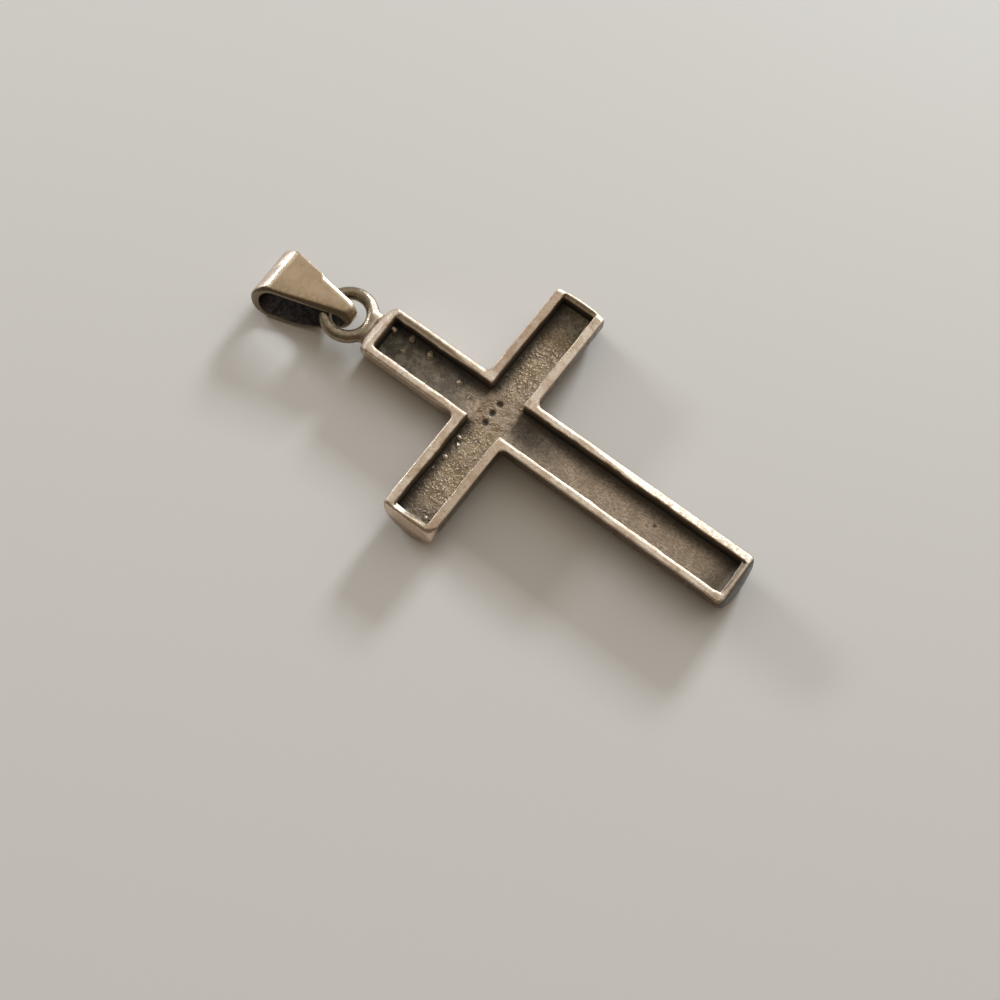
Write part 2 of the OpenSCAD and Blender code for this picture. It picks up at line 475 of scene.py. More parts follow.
def loop_outline(tip, tip_r, bend, bend_r):
    """Points round a loop seen from the side: its tip, upper side, bend and bowed lower side"""
    tip, bend = np.array(tip), np.array(bend)
    slope = heading(tip, bend)
    spread = math.acos((tip_r - bend_r) / np.linalg.norm(bend - tip))
    tip_angles = np.linspace(slope - spread, slope + spread - 2 * math.pi, ARC_STEPS)
    bend_angles = np.linspace(slope + spread, slope - spread, ARC_STEPS)
    round_tip = [tip + tip_r * turned(a) for a in tip_angles]
    round_bend = [bend + bend_r * turned(a) for a in bend_angles]
    start, end = round_bend[-1], round_tip[0]
    out = turned(heading(start, end) + math.pi / 2)
    shares = np.arange(1, BELLY_STEPS) / BELLY_STEPS
    lower = [start + (end - start) * t + out * 4 * BELLY * t * (1 - t) for t in shares]
    return np.array(round_tip + round_bend + lower)


def outline_distance(points, s, h):
    """Distance outside a closed outline, negative inside it"""
    nearest = np.full(s.shape, np.inf)
    inside = np.zeros(s.shape, bool)
    for a, b in zip(points, np.roll(points, -1, 0)):
        edge = b - a
        ps, ph = s - a[0], h - a[1]
        share = np.clip((ps * edge[0] + ph * edge[1]) / max(edge @ edge, TINY), 0, 1)
        nearest = np.minimum(nearest, np.hypot(ps - share * edge[0], ph - share * edge[1]))
        spans = (a[1] > h) != (b[1] > h)
        if abs(edge[1]) > TINY:
            inside ^= spans & (s < a[0] + (h - a[1]) * edge[0] / edge[1])
    return np.where(inside, -nearest, nearest)


class Chart:
    """A distance worked out once on a fine grid over the bail's side view, then read between its lines"""

    # How far a reading keeps from the grid's last line, in cells
    KEEP_OFF = 1.001

    def __init__(self, points, low, high, step):
        self.low, self.step = np.array(low), step
        s, h = (np.arange(a, b + step, step) for a, b in zip(low, high))
        self.values = outline_distance(points, *np.meshgrid(s, h, indexing="ij"))

    def read(self, s, h):
        u = np.clip((s - self.low[0]) / self.step, 0, self.values.shape[0] - self.KEEP_OFF)
        v = np.clip((h - self.low[1]) / self.step, 0, self.values.shape[1] - self.KEEP_OFF)
        i, j = u.astype(int), v.astype(int)
        f, g = u - i, v - j
        low = self.values[i, j] * (1 - f) + self.values[i + 1, j] * f
        high = self.values[i, j + 1] * (1 - f) + self.values[i + 1, j + 1] * f
        return low * (1 - g) + high * g


TIP_R = TIP_IN_R + BAND_T
BEND_IN_R = BEND_R - BAND_T
CHART_LOW = (-0.4, -0.4)
CHART_HIGH = (BAIL_L + 0.4, 3.3)
CHART_STEP = 0.02


def loop_chart(tip_s, tip_r, bend_s, bend_r):
    """The chart of a loop from where its tip and bend are along the bail, and their radii"""
    points = loop_outline((tip_s, TIP_H), tip_r, (bend_s, BEND_H), bend_r)
    return Chart(points, CHART_LOW, CHART_HIGH, CHART_STEP)


outer_chart = loop_chart(TIP_R, TIP_R, BAIL_L - BEND_R, BEND_R)
inner_chart = loop_chart(TIP_T + TIP_IN_R, TIP_IN_R, BAIL_L - BEND_T - BEND_IN_R, BEND_IN_R)


def bail_sides(x, y, z):
    """Distances outside the band's left and right cut sides, which lean and spread from the tip"""
    lean = math.cos(BAIL_SKEW)
    across = x * lean - (z - TIP_H) * math.sin(BAIL_SKEW)
    sides = []
    for side, off in ((-1, WIDE_OFF), (1, -WIDE_OFF)):
        grow = lean * (BAIL_W / 2 + off - TIP_W / 2) / BAIL_L
        sides.append((side * across - lean * TIP_W / 2 - grow * y) * math.cos(math.atan(grow)))
    return sides


def bend_facet(x, y, z):
    """Distance outside the flattened place on the bend round the chain"""
    nx, ny, nz = BEND_FACET
    along = nx * x + ny * (y - BAIL_L + BEND_R) + nz * (z - BEND_H)
    return along - BEND_R + BEND_FACET_DEPTH + waves(x, y, z, BEND_WAVES)


def bail_field(x, y, z):
    """Distance outside the bail, in its own place: length along y from its tip"""
    left, right = bail_sides(x, y, z)
    near_r = WIDE_NEAR_R + (TIP_NEAR_R - WIDE_NEAR_R) * ease(BAIL_L - 1, 0.6, y)
    near_r = near_r + BEND_NEAR_MORE * ease(BAIL_L - 1.6, BAIL_L - 1.0, y)
    outer = round_max(outer_chart.read(y, z), bend_facet(x, y, z), BEND_FACET_R)
    wide = FAR_FACET_W * ease(FAR_FACET_END, FAR_FACET_END - 0.4, y) * ease(TIP_H + 0.1, TIP_H + 0.6, z)
    facet = FAR_FACET_LEAN * (right + wide) + math.sqrt(1 - FAR_FACET_LEAN**2) * outer
    shell = round_max(round_max(outer, left, near_r), np.maximum(right, facet), BAND_EDGE_R)
    return round_max(shell, -inner_chart.read(y, z), BAND_EDGE_R)


def surface_net(field, lines):
    """Vertices and quads round a field's zero set, on a grid with the given lines along x, y and z"""
    value = field(*np.meshgrid(*lines, indexing="ij"))
    inside = value < 0
    shape = tuple(n - 1 for n in value.shape)
    count = np.zeros(shape, np.int8)
    for corner in range(8):
        cut = tuple(slice(corner >> a & 1, (corner >> a & 1) + n) for a, n in enumerate(shape))
        count += inside[cut]
    mixed = (count > 0) & (count < 8)
    number = np.cumsum(mixed.ravel()).reshape(shape) - 1
    total = np.zeros((mixed.sum(), 3))
    hits = np.zeros(mixed.sum())
    quads = []
    for axis in range(3):
        u, v = (axis + 1) % 3, (axis + 2) % 3
        lower = tuple(slice(0, -1) if a == axis else slice(None) for a in range(3))
        upper = tuple(slice(1, None) if a == axis else slice(None) for a in range(3))
        at = np.argwhere(inside[lower] != inside[upper])
        one = value[lower][tuple(at.T)]
        two = value[upper][tuple(at.T)]
        point = np.stack([lines[a][at[:, a]] for a in range(3)], 1)
        point[:, axis] += (lines[axis][at[:, axis] + 1] - lines[axis][at[:, axis]]) * one / (one - two)
        ring_of_cells = []
        for du, dv in ((1, 1), (0, 1), (0, 0), (1, 0)):
            cell = at.copy()
            cell[:, u] -= du
            cell[:, v] -= dv
            ring_of_cells.append(number[tuple(cell.T)])
            for a in range(3):
                total[:, a] += np.bincount(ring_of_cells[-1], point[:, a], len(total))
            hits += np.bincount(ring_of_cells[-1], minlength=len(total))
        quad = np.stack(ring_of_cells, 1)
        quads.append(np.where((one < 0)[:, None], quad, quad[:, ::-1]))
    return total / hits[:, None], np.concatenate(quads)


def slope_of(field, p, step=0.01):
    """Which way a field rises at each point, and how fast"""
    rise = np.empty_like(p)
    for a in range(3):
        off = np.zeros(3)
        off[a] = step
        rise[:, a] = (field(*(p + off).T) - field(*(p - off).T)) / (2 * step)
    return rise


# How meshes are settled: share of the way to the neighbours' mean, moves in a round, the longest
# move, and the least square of a slope to divide by
EVEN_SHARE = 0.4
MOVES = 3
LONGEST_MOVE = 0.06
LEAST_SLOPE = 0.2


def settle(field, p, quads, rounds=3):
    """Evens out the vertices, and puts them onto the zero set. Also gives each one's outward direction."""
    edges = np.concatenate([quads[:, [k, (k + 1) % 4]] for k in range(4)])
    edges = np.concatenate([edges, edges[:, ::-1]])
    share = np.bincount(edges[:, 0], minlength=len(p))[:, None]
    for n in range(rounds):
        if n:
            mean = np.stack([np.bincount(edges[:, 0], p[edges[:, 1], a], len(p)) for a in range(3)], 1)
            p = p + EVEN_SHARE * (mean / share - p)
        for _ in range(MOVES):
            rise = slope_of(field, p)
            steep = np.maximum((rise * rise).sum(1), LEAST_SLOPE)
            move = field(*p.T)[:, None] * rise / steep[:, None]
            p = p - np.clip(move, -LONGEST_MOVE, LONGEST_MOVE)
    rise = slope_of(field, p)
    return p, rise / np.linalg.norm(rise, axis=1)[:, None]


def sharpness(field, p, reach):
    """Above 0 on outward edges and below 0 in creases, from the field at six places round each point"""
    total = -6 * field(*p.T)
    for a in range(3):
        for sign in (-1, 1):
            off = np.zeros(3)
            off[a] = sign * reach
            total = total + field(*(p + off).T)
    return total / reach


def build_mesh(name, p, quads, marks):
    """A piece of the scene from points in millimetres, with its marks as attributes for the materials"""
    mesh = bpy.data.meshes.new(name)
    mesh.vertices.add(len(p))
    mesh.vertices.foreach_set("co", (p * MM).astype(np.float32).ravel())
    mesh.loops.add(quads.size)
    mesh.loops.foreach_set("vertex_index", quads.astype(np.int32).ravel())
    mesh.polygons.add(len(quads))
    mesh.polygons.foreach_set("loop_start", np.arange(0, quads.size, 4, dtype=np.int32))
    mesh.update(calc_edges=True)
    mesh.validate()
    mesh.polygons.foreach_set("use_smooth", np.ones(len(quads), bool))
    for key, value in marks.items():
        layer = mesh.attributes.new(key, "FLOAT", "POINT")
        layer.data.foreach_set("value", value.astype(np.float32))
    piece = bpy.data.objects.new(name, mesh)
    bpy.context.scene.collection.objects.link(piece)
    return piece


def spaced(*stops):
    """Grid lines through stops of (place, spacing up to the next place)"""
    lines = [stops[0][0]]
    for (a, step), (b, _) in zip(stops, stops[1:]):
        count = max(1, round((b - a) / step))
        lines.extend(a + (b - a) * np.arange(1, count + 1) / count)
    return np.array(lines)


# Spacing of the grids: round the cross's ends and crossing, along its bars, below its sides and up
# them, and for the bail
FINE = 0.08
ALONG = 0.11
COARSE = 0.13
UPRIGHT = 0.085
BAIL_STEP = 0.055

# How far a grid goes past the shape, and how far its fine part goes from the crossing's middle
PAST = 0.2
CROSSING_HALF = 2.25

# How far round a point its sharp edges and its wide creases are looked for, and the most that counts
NEAR_REACH = 0.08
WIDE_REACH = 0.2
MOST_SHARP = 3

# How far the finished points keep inside the CAD node's box
BOX_INSET = 0.001


def shade_of(x, y, across):
    """How black the hollow's floor is: along its right and upper walls, and below the crossing"""
    post = np.maximum(ease(0.05, 1.25, x), 0.85 * ease(-6, -2.4, y) * ease(-1.3, 0.0, x) * (y < 0))
    arm = ease(0.3, 1.3, y) * ease(1, 1.6, np.abs(x))
    return post * (1 - across) + arm * across


def far_of(x, y):
    """How dark the floor gets towards the ends of the hollow"""
    arms = np.maximum(0.85 * ease(6.6, 8.9, -x), 0.2 * ease(7.8, 9.6, x))
    post = np.maximum(ease(6.0, 8.6, y - 0.5 * x), ease(17.2, 19.4, -y - 0.3 * x))
    return np.maximum(arms, post)


def cold_of(x, y):
    """Where the floor is greyer: up the top arm, just below the crossing, and at the right end"""
    below = 0.4 * ease(-1.6, -2.6, y) * ease(-7, -4, y)
    return np.maximum(np.maximum(ease(1.6, 3.5, y), below), 0.9 * ease(6.5, 8.6, x))


def cross_grid():
    """Grid lines along x, y and z for the cross with its ring"""
    x_lines = spaced(
        (-SPAN / 2 - PAST, FINE),
        (-SPAN / 2 + 1.2, ALONG),
        (-CROSSING_HALF, FINE),
        (CROSSING_HALF, ALONG),
        (SPAN / 2 - 1.2, FINE),
        (SPAN / 2 + PAST, FINE),
    )
    y_lines = spaced(
        (-LOW_L - PAST, FINE),
        (-LOW_L + 1.4, ALONG),
        (-CROSSING_HALF, FINE),
        (CROSSING_HALF, ALONG),
        (TOP_L - 1.5, FINE),
        (RING_Y + RING_R + 0.7, FINE),
    )
    z_lines = spaced((-0.15, COARSE), (DOME_H, UPRIGHT), (BODY_H + 0.15, FINE))
    return x_lines, y_lines, z_lines


def hollow_parts(x, y, z, out):
    """From 0 to 1: the filed upper edges, the hollow's own surface, and its floor"""
    depth = BODY_H - z
    filed = ease(0.03, -0.005, filed_edge(x, y, z)) * ease(0.02, 0.1, depth) * (z > FLOOR_Z + 0.5)
    within = ease(0.1, -0.02, hollow_plan(x, y)) * ease(0.06, 0.3, depth)
    within = within * (z > FLOOR_Z - 0.3) * (1 - filed)
    floor = within * ease(0.05, 0.9, out[:, 2]) * ease(0.5, 1.1, depth)
    return filed, within, floor


def relief(x, y, z, within, floor, across, dots, pit):
    """How far each point is raised: the floor's grain, the punched dots, the pit and the cast skin"""
    grain = (SMOOTH_GRAIN + ROUGH_GRAIN * across) * floor * waves(x, y, z, GRAIN_WAVES)
    skin = SKIN_DEPTH * (1 - within) * (1 + SKIN_VARIES * waves(x, y, z, SKIN_WAVES))
    return grain - DOTS["depth"] * dots - PIT_DEPTH * pit - skin


def hollow_marks(x, y, z, within, floor, across, dots, pit):
    """Where the hollow is dark, grey, rough, or has a nodule, a dot or the pit, and where shade is painted
    round the nodules
    """
    lumps = nodules(x, y, z)
    return dict(
        cavity=within,
        floor=floor,
        across=across * floor,
        shade=shade_of(x, y, across),
        far=far_of(x, y),
        cold=cold_of(x, y),
        deep=ease(0.25, 0.95, BODY_H - z),
        middle=ease(2.4, 0.8, np.abs(x)) * across,
        punch=np.maximum(dots, pit),
        bead=ease(0.05, -0.01, lumps) * within,
        # painted shade in a ring round each nodule's foot
        painted_nodule_shade=ease(0.2, 0.06, lumps) * within,
    )


def edge_marks(p, out, within, filed):
    """Where edges are sharp, worn, filed or creased, which way the surface faces, where a highlight is
    painted along the ledges of the cuts, and where brown shade is painted on faces that lean towards +Y
    """
    x, y, z = p.T
    plan = hollow_plan(x, y)
    cast = 1 - within
    facing = ease(0.15, 0.28, out[:, 0]) * ease(0.62, 0.78, out[:, 2])
    ragged = plan + waves(x, y, z, STAIN_WAVES)
    return dict(
        edge=np.clip(sharpness(cross_field, p, NEAR_REACH), -MOST_SHARP, MOST_SHARP),
        crease=np.clip(-sharpness(cross_field, p, WIDE_REACH), 0, MOST_SHARP) * cast,
        up=out[:, 2],
        # painted brown shade on faces that lean towards +Y
        away=ease(0.1, 0.4, out[:, 1]) * cast * (y < TOP_L + 0.2),
        filed=filed,
        # painted highlight along the ledge where a file's cut meets the hollow
        painted_ledge_highlight=ease(0.09, 0.03, np.abs(plan)) * filed,
        half_cut=np.maximum(ease(0.9, 0.1, y) * (x < -8), 0.75 * (y < -19) + 0.3 * (x > 9)) * filed,
        bevel=facing * cast * (1 - filed) * (y < TOP_L - 0.15),
        creep=ease(0.13, 0.02, ragged) * cast * (1 - filed) * (z > FLOOR_Z + 1),
    )


def place_marks(x, y, z, out, within):
    """Where the metal has a tone of its own: the ends, arms, sides and ring; and where shade is painted low
    on the sides
    """
    upper_right = ease(1.0, 1.3, y) * ease(2.0, 2.3, x)
    lower_left = ease(1.0, 1.3, -y) * ease(2.2, 2.6, -x)
    return dict(
        champagne=np.maximum(0.8 * ease(2.2, 4, y), ease(8.9, 9.6, -x)),
        pale=ease(-6, -14, y) * ease(1.15, 1.4, x),
        brown=upper_right + 0.7 * lower_left,
        slate=ease(0.35, 0.8, -out[:, 1]) * (y < -19) * (1 - within),
        # painted shade on the sides near the ground
        painted_low_shade=ease(DOME_H + 0.6, DOME_H, z) * (1 - 0.45 * ease(9.2, 9.6, -x)),
        eye=ease(0.25, 0.0, ring(x, y, z)) * (y > TOP_L - 0.2),
        seam=ease(0.09, 0.03, np.abs(np.hypot(x - SEAM_AT[0], y - SEAM_AT[1]))),
    )


def make_cross():
    p, quads = surface_net(cross_field, cross_grid())
    p, out = settle(cross_field, p, quads)
    x, y, z = p.T
    filed, within, floor = hollow_parts(x, y, z, out)
    across = ease(1.5, 1.25, np.abs(y))
    dots = dot_depth(x, y) * floor
    pit = ease(PIT_R, 0.06, np.hypot(x - PIT_AT[0], y - PIT_AT[1])) * floor
    marks = hollow_marks(x, y, z, within, floor, across, dots, pit)
    marks.update(edge_marks(p, out, within, filed))
    marks.update(place_marks(x, y, z, out, within))
    p = p + out * relief(x, y, z, within, floor, across, dots, pit)[:, None]
    p[:, 1] += CROSSING_Y
    p = np.clip(p, cross_low + BOX_INSET, cross_high - BOX_INSET)
    return build_mesh("cross_body", p, quads, marks)


def bail_marks(p, out):
    """The bail's inside, its cut and bent places with painted greyer shade on the bend, and the flat strip
    along its far edge where a highlight is painted
    """
    x, y, z = p.T
    left, right = bail_sides(x, y, z)
    inner = ease(0.12, 0.04, np.abs(inner_chart.read(y, z)))
    painted_highlight_strip = ease(-0.38, -0.3, right) * ease(FAR_FACET_END, FAR_FACET_END - 0.3, y)
    return dict(
        inside=inner * ease(0.0, -0.08, np.maximum(left, right)),
        cut=ease(-0.34, -0.2, left) * ease(-0.02, -0.06, outer_chart.read(y, z)),
        edge=np.clip(sharpness(bail_field, p, NEAR_REACH), -MOST_SHARP, MOST_SHARP),
        near=ease(-1.2, -0.1, left),
        # painted highlight on the flat strip along the far edge
        painted_highlight_strip=painted_highlight_strip * ease(0.6, 0.8, out[:, 2]) * ease(0.25, 0.35, out[:, 0]),
        # painted greyer shade where the bend leans towards +Y; the same mark gives the bend its dents and
        # roughness
        bend=ease(0.3, 0.6, out[:, 1]) * (y > BAIL_L - 2.2),
    )


def make_bail():
    x_lines = spaced((-4.2, BAIL_STEP), (3.2, BAIL_STEP))
    y_lines = spaced((-0.15, BAIL_STEP), (BAIL_L + 0.15, BAIL_STEP))
    z_lines = spaced((-0.1, BAIL_STEP), (3.0, BAIL_STEP))
    p, quads = surface_net(bail_field, (x_lines, y_lines, z_lines))
    p, out = settle(bail_field, p, quads)
    marks = bail_marks(p, out)
    turn = np.stack([turned(BAIL_YAW), turned(BAIL_YAW + math.pi / 2)])
    p[:, :2] = p[:, :2] @ turn + [BAIL_X, BAIL_Y + CROSSING_Y]
    low, high = box_mm("bail")
    p = np.clip(p, low + BOX_INSET, high - BOX_INSET)
    return build_mesh("bail_band", p, quads, marks)


# Numbers of the Mix node's sockets for colours and for plain numbers
MIX_FROM = 6
MIX_TO = 7
MIX_RESULT = 2
BLEND_FROM = 2
BLEND_TO = 3
BLEND_RESULT = 0


class Paint:
    """A material with short calls for its nodes. Sizes are millimetres, places the object's own."""

    def __init__(self, name):
        self.material = bpy.data.materials.new(name)
        self.material.use_nodes = True
        self.tree = self.material.node_tree
        self.shader = self.tree.nodes["Principled BSDF"]
        place = self.tree.nodes.new("ShaderNodeTexCoord")
        scale = self.tree.nodes.new("ShaderNodeVectorMath")
        scale.operation = "SCALE"
        scale.inputs["Scale"].default_value = 1 / MM
        self.tree.links.new(place.outputs["Object"], scale.inputs[0])
        self.place = scale.outputs[0]

    def put(self, socket, value):
        """Links a socket, or sets its number or colour"""
        if isinstance(value, bpy.types.NodeSocket):
            self.tree.links.new(value, socket)
        elif value is not None:
            socket.default_value = value

    def set(self, name, value):
        self.put(self.shader.inputs[name], value)

    def mark(self, name):
        """What the mesh says of a place"""
        node = self.tree.nodes.new("ShaderNodeAttribute")
        node.attribute_name = name
        return node.outputs["Fac"]

    def maths(self, operation, a, b):
        node = self.tree.nodes.new("ShaderNodeMath")
        node.operation = operation
        self.put(node.inputs[0], a)
        self.put(node.inputs[1], b)
        return node.outputs[0]

    def product(self, a, b):
        return self.maths("MULTIPLY", a, b)

    def larger(self, a, b):
        return self.maths("MAXIMUM", a, b)

    def fade(self, value, low, high, start=0.0, end=1.0):
        """Smoothly from start to end as a value goes from low to high"""
        node = self.tree.nodes.new("ShaderNodeMapRange")
        node.interpolation_type = "SMOOTHSTEP"
        self.put(node.inputs["Value"], value)
        for key, number in (("From Min", low), ("From Max", high), ("To Min", start), ("To Max", end)):
            node.inputs[key].default_value = number
        return node.outputs["Result"]

    def noise(self, size, detail, rough=0.5, stretch=None):
        """Cloudy values round 0.5, with lumps of about a size and finer octaves on them"""
        place = self.place
        if stretch:
            node = self.tree.nodes.new("ShaderNodeVectorMath")
            node.operation = "MULTIPLY"
            node.inputs[1].default_value = stretch
            self.put(node.inputs[0], place)
            place = node.outputs[0]
        node = self.tree.nodes.new("ShaderNodeTexNoise")
        self.put(node.inputs["Vector"], place)
        node.inputs["Scale"].default_value = 1 / size
        node.inputs["Detail"].default_value = detail
        node.inputs["Roughness"].default_value = rough
        return node.outputs["Fac"]

    def grains(self, size, wander):
        """0 in the middle of each scattered grain, rising towards its neighbours"""
        shake = self.tree.nodes.new("ShaderNodeTexNoise")
        self.put(shake.inputs["Vector"], self.place)
        shake.inputs["Scale"].default_value = 1 / size
        moved = self.tree.nodes.new("ShaderNodeVectorMath")
        moved.operation = "MULTIPLY_ADD"
        self.put(moved.inputs[0], shake.outputs["Color"])
        moved.inputs[1].default_value = (wander, wander, wander)
        self.put(moved.inputs[2], self.place)
        cells = self.tree.nodes.new("ShaderNodeTexVoronoi")
        self.put(cells.inputs["Vector"], moved.outputs[0])
        cells.inputs["Scale"].default_value = 1 / size
        return cells.outputs["Distance"]

    def mix(self, share, a, b):
        """From colour a to colour b"""
        node = self.tree.nodes.new("ShaderNodeMix")
        node.data_type = "RGBA"
        self.put(node.inputs["Factor"], share)
        for socket, value in ((node.inputs[MIX_FROM], a), (node.inputs[MIX_TO], b)):
            self.put(socket, (*value, 1) if isinstance(value, tuple) else value)
        return node.outputs[MIX_RESULT]

    def cover(self, under, mark, share, colour):
        """A colour over another where the mesh has a mark, up to a share"""
        return self.mix(self.product(self.mark(mark), share), under, colour)

    def blend(self, share, a, b):
        """From number a to number b"""
        node = self.tree.nodes.new("ShaderNodeMix")
        node.data_type = "FLOAT"
        self.put(node.inputs["Factor"], share)
        self.put(node.inputs[BLEND_FROM], a)
        self.put(node.inputs[BLEND_TO], b)
        return node.outputs[BLEND_RESULT]

    def bump(self, height, distance, under=None):
        """Tilts the surface by a height that counts as distance where it is 1"""
        node = self.tree.nodes.new("ShaderNodeBump")
        node.inputs["Strength"].default_value = 1.0
        node.inputs["Distance"].default_value = distance * MM
        self.put(node.inputs["Height"], height)
        self.put(node.inputs["Normal"], under)
        return node.outputs["Normal"]


# Rims, sides and ring
POLISHED = (0.88, 0.79, 0.68)
WORN = (0.67, 0.54, 0.42)
STAIN = (0.42, 0.29, 0.20)
PINK = (0.70, 0.55, 0.46)
CREAM = (0.80, 0.71, 0.57)
CREAM_DARK = (0.56, 0.45, 0.35)
BRIGHT_WEAR_AND_HIGHLIGHT = (0.93, 0.83, 0.67)
FILED = (0.68, 0.57, 0.40)
PAINTED_SHADE_BROWN = (0.42, 0.33, 0.26)
CHAMPAGNE = (0.74, 0.58, 0.44)
TARNISH = (0.195, 0.115, 0.058)
TARNISH_DARK = (0.11, 0.07, 0.038)
DIRT_AND_SHADE = (0.095, 0.064, 0.038)
SLATE = (0.07, 0.058, 0.05)
OLIVE = (0.26, 0.225, 0.155)
OLIVE_PINK = (0.37, 0.285, 0.215)

# Hollow
GRANULE = (0.90, 0.71, 0.47)
SAND = (0.80, 0.62, 0.41)
GAP = (0.23, 0.165, 0.105)
EARTH = (0.30, 0.21, 0.125)
PATINA = (0.97, 0.80, 0.63)
PATINA_DARK = (0.50, 0.40, 0.30)
COLD = (0.105, 0.103, 0.092)
COLD_PALE = (0.37, 0.36, 0.31)
WALL = (0.15, 0.115, 0.08)
BEAD = (0.88, 0.74, 0.60)
OXIDE_AND_SHADE = (0.03, 0.028, 0.024)

# Bail
GOLDEN = (0.67, 0.545, 0.405)
GOLDEN_DARK = (0.57, 0.455, 0.325)
NEAR_BROWN = (0.36, 0.28, 0.185)
BEND_SHADE_GREY = (0.50, 0.41, 0.36)
CUT_BROWN = (0.235, 0.19, 0.145)
INSIDE_DARK = (0.035, 0.03, 0.029)
INSIDE_LIGHT = (0.095, 0.078, 0.066)


def worn_polish(paint, mottle):
    """Warm polish of the rims, with pink, brown, stained and pale places"""
    metal = paint.mix(paint.fade(paint.noise(1.1, 4, 0.6), 0.42, 0.62), POLISHED, WORN)
    metal = paint.mix(paint.fade(mottle, 0.46, 0.62, 0, 0.45), metal, PINK)
    metal = paint.cover(metal, "brown", 0.5, STAIN)
    metal = paint.mix(paint.fade(paint.noise(0.45, 5, 0.7), 0.54, 0.68, 0, 0.7), metal, STAIN)
    return paint.cover(metal, "pale", paint.fade(mottle, 0.6, 0.45, 0, 0.8), BRIGHT_WEAR_AND_HIGHLIGHT)


def tarnished_sides(paint, metal, fine):
    """Brown streaks down the sides, painted shade on them near the ground, and a paler tone on the top arm
    and left end
    """
    sides = paint.product(paint.fade(paint.mark("up"), 0.7, 0.3), paint.fade(fine, 0.3, 0.7, 0.85, 1.0))
    streak = paint.fade(paint.noise(0.5, 3, 0.6, stretch=(1.0, 1.0, 6.0)), 0.35, 0.65)
    tarnish = paint.mix(paint.mark("champagne"), paint.mix(streak, TARNISH, TARNISH_DARK), CHAMPAGNE)
    metal = paint.mix(sides, metal, tarnish)
    # painted shade low on the sides
    low = paint.product(paint.mark("painted_low_shade"), 0.75)
    return paint.mix(paint.product(sides, low), metal, DIRT_AND_SHADE)


def filed_and_worn(paint, metal, mottle):
    """The file's cuts, the stain that creeps over the rims' inner edges, bright edges, worn slopes, and
    painted brown shade on faces that lean towards +Y
    """
    filed = paint.mix(paint.fade(mottle, 0.4, 0.6), FILED, STAIN)
    filed = paint.cover(filed, "champagne", 0.6, CREAM)
    metal = paint.cover(metal, "filed", 0.85, filed)
    metal = paint.cover(metal, "creep", 0.75, STAIN)
    metal = paint.mix(paint.product(paint.fade(paint.mark("edge"), 0.5, 1.3), 0.7), metal, BRIGHT_WEAR_AND_HIGHLIGHT)
    slope = paint.mix(paint.fade(mottle, 0.4, 0.6), CREAM, CREAM_DARK)
    metal = paint.mix(paint.mark("bevel"), metal, slope)
    # painted brown shade on faces that lean towards +Y
    return paint.cover(metal, "away", 0.85, PAINTED_SHADE_BROWN)


def ring_and_dirt(paint, metal, mottle, fine, speck):
    """The olive ring, a painted highlight along the ledges of the cuts, dirt in the cuts and the ring's seam,
    and darker creases
    """
    olive = paint.mix(paint.fade(mottle, 0.45, 0.62), OLIVE, OLIVE_PINK)
    metal = paint.cover(metal, "eye", paint.fade(fine, 0.35, 0.65, 0.8, 1.0), olive)
    # painted highlight along the ledges of the file's cuts
    metal = paint.cover(metal, "painted_ledge_highlight", paint.fade(speck, 0.4, 0.6, 0.4, 1.0), BRIGHT_WEAR_AND_HIGHLIGHT)
    metal = paint.cover(metal, "half_cut", 0.8, DIRT_AND_SHADE)
    # darker in the creases
    metal = paint.mix(paint.fade(paint.mark("crease"), 0.25, 0.9, 0, 0.9), metal, DIRT_AND_SHADE)
    metal = paint.cover(metal, "seam", 0.8, DIRT_AND_SHADE)
    return paint.cover(metal, "slate", 0.95, SLATE)


def floor_grain(paint):
    """The hollow's floor and the height of its grain: scattered grains on the arms, fibres on the long bar"""
    across = paint.mark("across")
    grit = paint.noise(0.14, 3, 0.6)
    grain = paint.grains(0.24, 0.26)
    clusters = paint.fade(paint.noise(0.8, 3, 0.6), 0.34, 0.54)
    granule = paint.product(paint.fade(grain, 0.48, 0.2), clusters)
    fibre = paint.noise(0.11, 4, 0.7, stretch=(1.0, 0.4, 1.0))
    ground = paint.blend(across, paint.product(fibre, 1.3), paint.product(grit, 0.7))
    height = paint.maths("ADD", paint.product(granule, across), ground)
    gaps = paint.product(paint.fade(grain, 0.42, 0.6), paint.product(clusters, 0.7))
    sand = paint.mix(paint.fade(grit, 0.34, 0.6), GAP, SAND)
    sand = paint.mix(gaps, sand, GAP)
    sand = paint.mix(granule, sand, GRANULE)
    sand = paint.cover(sand, "middle", 0.65, EARTH)
    smooth = paint.mix(paint.fade(fibre, 0.40, 0.58), PATINA_DARK, PATINA)
    return paint.mix(across, smooth, sand), height


def darkened_floor(paint, bottom):
    """Patches, darker far ends, cold grey places and the black along the walls"""
    patch = paint.fade(paint.noise(0.9, 4, 0.65), 0.4, 0.56, 0.55, 0.0)
    patch = paint.larger(patch, paint.product(paint.mark("far"), 0.75))
    bottom = paint.mix(patch, bottom, PATINA_DARK)
    bottom = paint.cover(bottom, "far", 0.55, OXIDE_AND_SHADE)
    chill = paint.mix(paint.fade(paint.noise(0.75, 5, 0.7), 0.44, 0.6), COLD, COLD_PALE)
    bottom = paint.cover(bottom, "cold", 0.7, chill)
    return paint.cover(bottom, "shade", 0.88, OXIDE_AND_SHADE)


